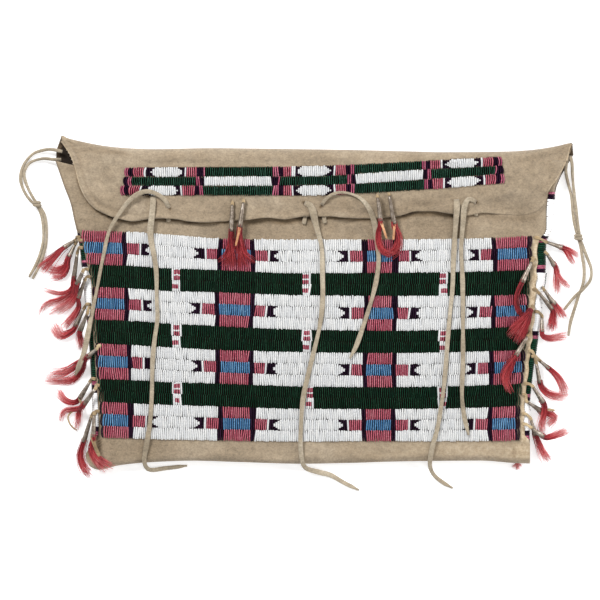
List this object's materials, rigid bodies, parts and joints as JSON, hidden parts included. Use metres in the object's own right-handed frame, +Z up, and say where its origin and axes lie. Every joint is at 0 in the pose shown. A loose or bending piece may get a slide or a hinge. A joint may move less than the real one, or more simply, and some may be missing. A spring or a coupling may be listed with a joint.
{
  "type": "possibles bag",
  "caption": "Flat hide storage bag with a fold-over flap, beaded front, flap and side gussets, tin-cone horsehair tassels along the sides, lacing ties and corner hangers.",
  "frame": {"origin": "centre of the bag's outline on the surface it lies on, back down", "axes": "+X to the bag's right along its top fold, +Y towards its top fold, +Z up out of its beaded front"},
  "size_m": [0.6152, 0.3811, 0.0356],
  "materials": {
    "hide": "soft brain-tanned hide, suede face, mottled tan",
    "beads_front": "opaque glass seed beads, white and dark green with red, blue and navy figures",
    "beads_lanes": "opaque glass seed beads, dark green and white with red, rose and navy figures",
    "thong": "cut hide thong",
    "tin": "rolled tinplate, dull and tarnished",
    "horsehair": "dyed horsehair, deep red fading to pink"
  },
  "bodies": {
    "bag": {"body_hide": "hide", "gusset_left": "hide", "gusset_right": "hide", "front_beadwork": "beads_front", "gusset_beadwork_left": "beads_lanes", "gusset_beadwork_right": "beads_lanes", "hanger_left": "thong", "hanger_right": "thong", "tassel_right_1": "horsehair", "tassel_right_2": "horsehair", "tassel_right_3": "horsehair", "tassel_right_4": "horsehair", "tassel_right_5": "horsehair", "tassel_right_6": "horsehair", "tassel_right_7": "horsehair", "tassel_right_8": "horsehair", "tassel_left_1": "horsehair", "tassel_left_2": "horsehair", "tassel_left_3": "horsehair", "tassel_left_4": "horsehair", "tassel_left_5": "horsehair", "tassel_left_6": "horsehair", "tassel_left_7": "horsehair", "tin_cone_right_1": "tin", "tin_cone_right_2a": "tin", "tin_cone_right_2b": "tin", "tin_cone_right_3a": "tin", "tin_cone_right_3b": "tin", "tin_cone_right_4a": "tin", "tin_cone_right_4b": "tin", "tin_cone_right_5": "tin", "tin_cone_right_6a": "tin", "tin_cone_right_6b": "tin", "tin_cone_right_7a": "tin", "tin_cone_right_7b": "tin", "tin_cone_right_8a": "tin", "tin_cone_right_8b": "tin", "tin_cone_left_1a": "tin", "tin_cone_left_1b": "tin", "tin_cone_left_2": "tin", "tin_cone_left_3a": "tin", "tin_cone_left_3b": "tin", "tin_cone_left_4a": "tin", "tin_cone_left_4b": "tin", "tin_cone_left_5": "tin", "tin_cone_left_6a": "tin", "tin_cone_left_6b": "tin", "tin_cone_left_7a": "tin", "tin_cone_left_7b": "tin"},
    "flap": {"flap_hide": "hide", "flap_beadwork": "beads_lanes", "tie_left": "thong", "tie_middle": "thong", "tie_right": "thong", "tassel_flap_1": "horsehair", "tassel_flap_2": "horsehair", "tin_cone_flap_1a": "tin", "tin_cone_flap_1b": "tin", "tin_cone_flap_2a": "tin", "tin_cone_flap_2b": "tin"}
  },
  "joints": [
    {"name": "flap_fold", "type": "hinge", "parent": "bag", "child": "flap", "pos_m": [0, 0.16702, 0.0103], "axis": [-1, 0, 0], "range_deg": [0, 160]}
  ]
}
